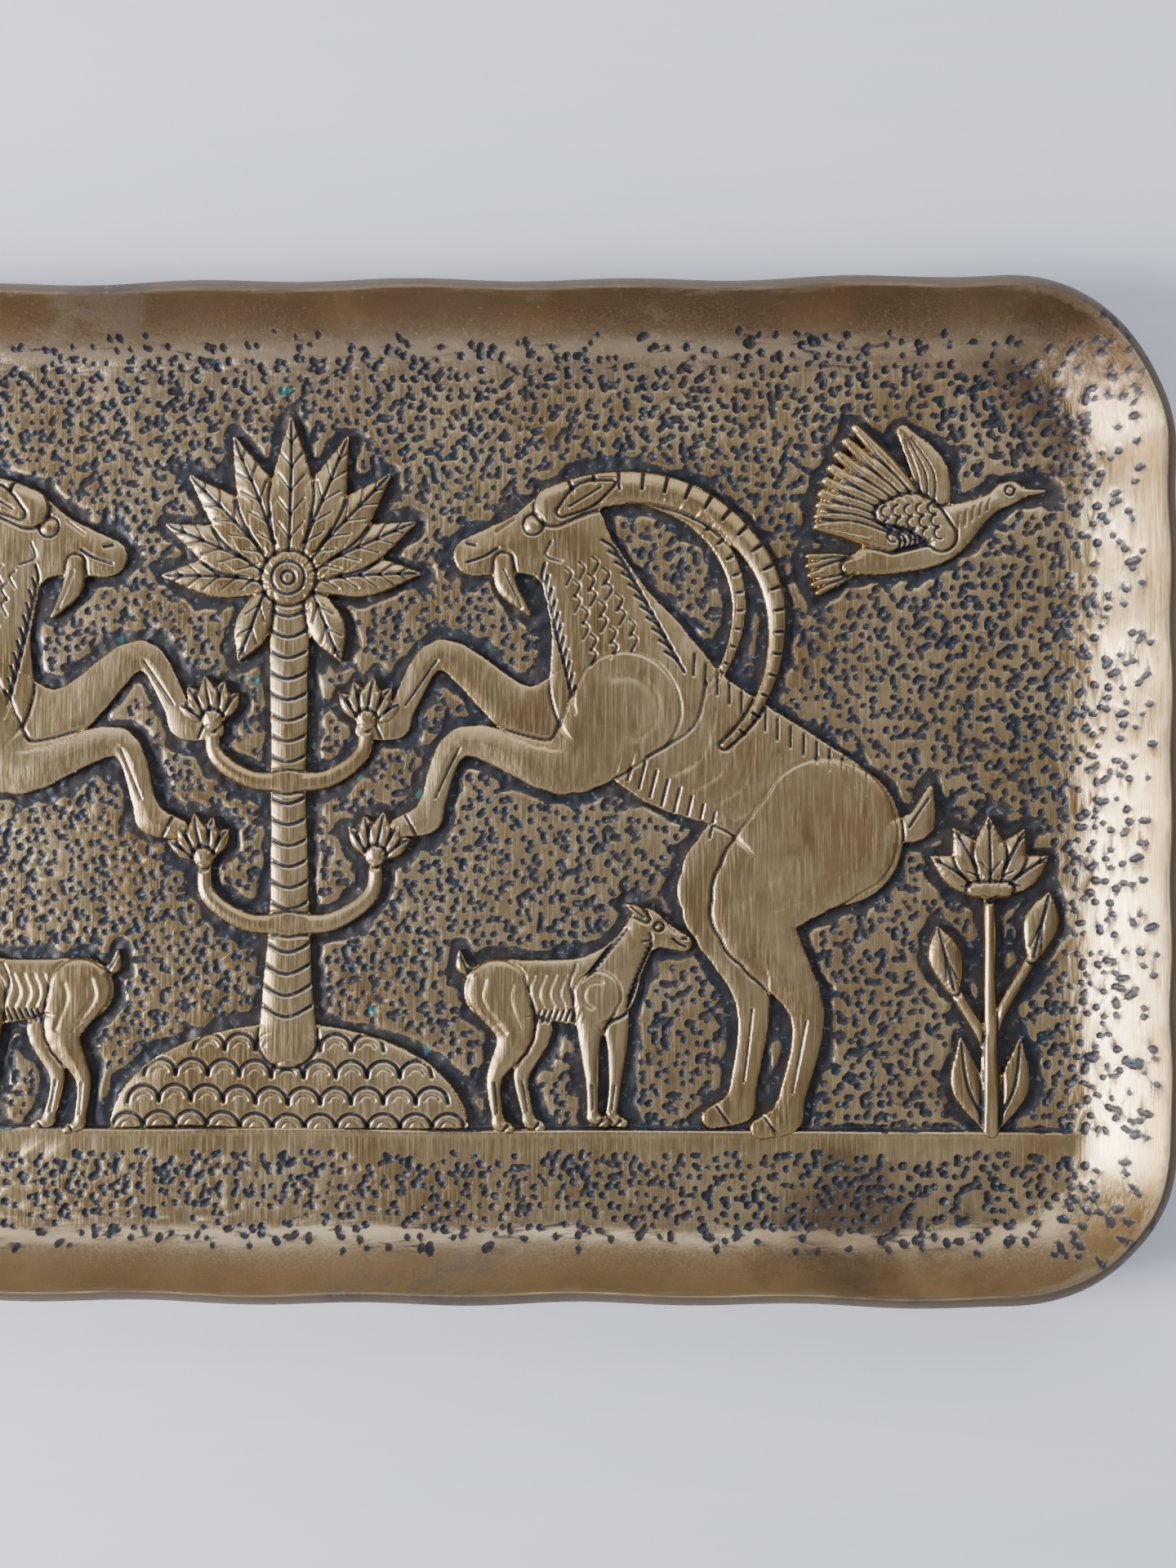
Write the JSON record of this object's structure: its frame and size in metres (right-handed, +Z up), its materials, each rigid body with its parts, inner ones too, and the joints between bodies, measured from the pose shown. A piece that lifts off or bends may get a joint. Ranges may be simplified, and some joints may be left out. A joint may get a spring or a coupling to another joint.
{
  "type": "relief platter",
  "caption": "Shallow oblong cast bronze platter with round corners, a slightly wavy rim and a low relief of goats at a stylised tree on its floor.",
  "frame": {"origin": "under the middle of the platter, on the surface that it rests on", "axes": "+X along the long side, +Y across it towards the top of the relief, +Z up out of the dish"},
  "size_m": [0.2807, 0.1608, 0.016],
  "materials": {
    "bronze": "worn cast bronze: brushed warm high parts, blue-black patina in the pits and recesses"
  },
  "bodies": {
    "root": {"platter": "bronze"}
  },
  "joints": []
}
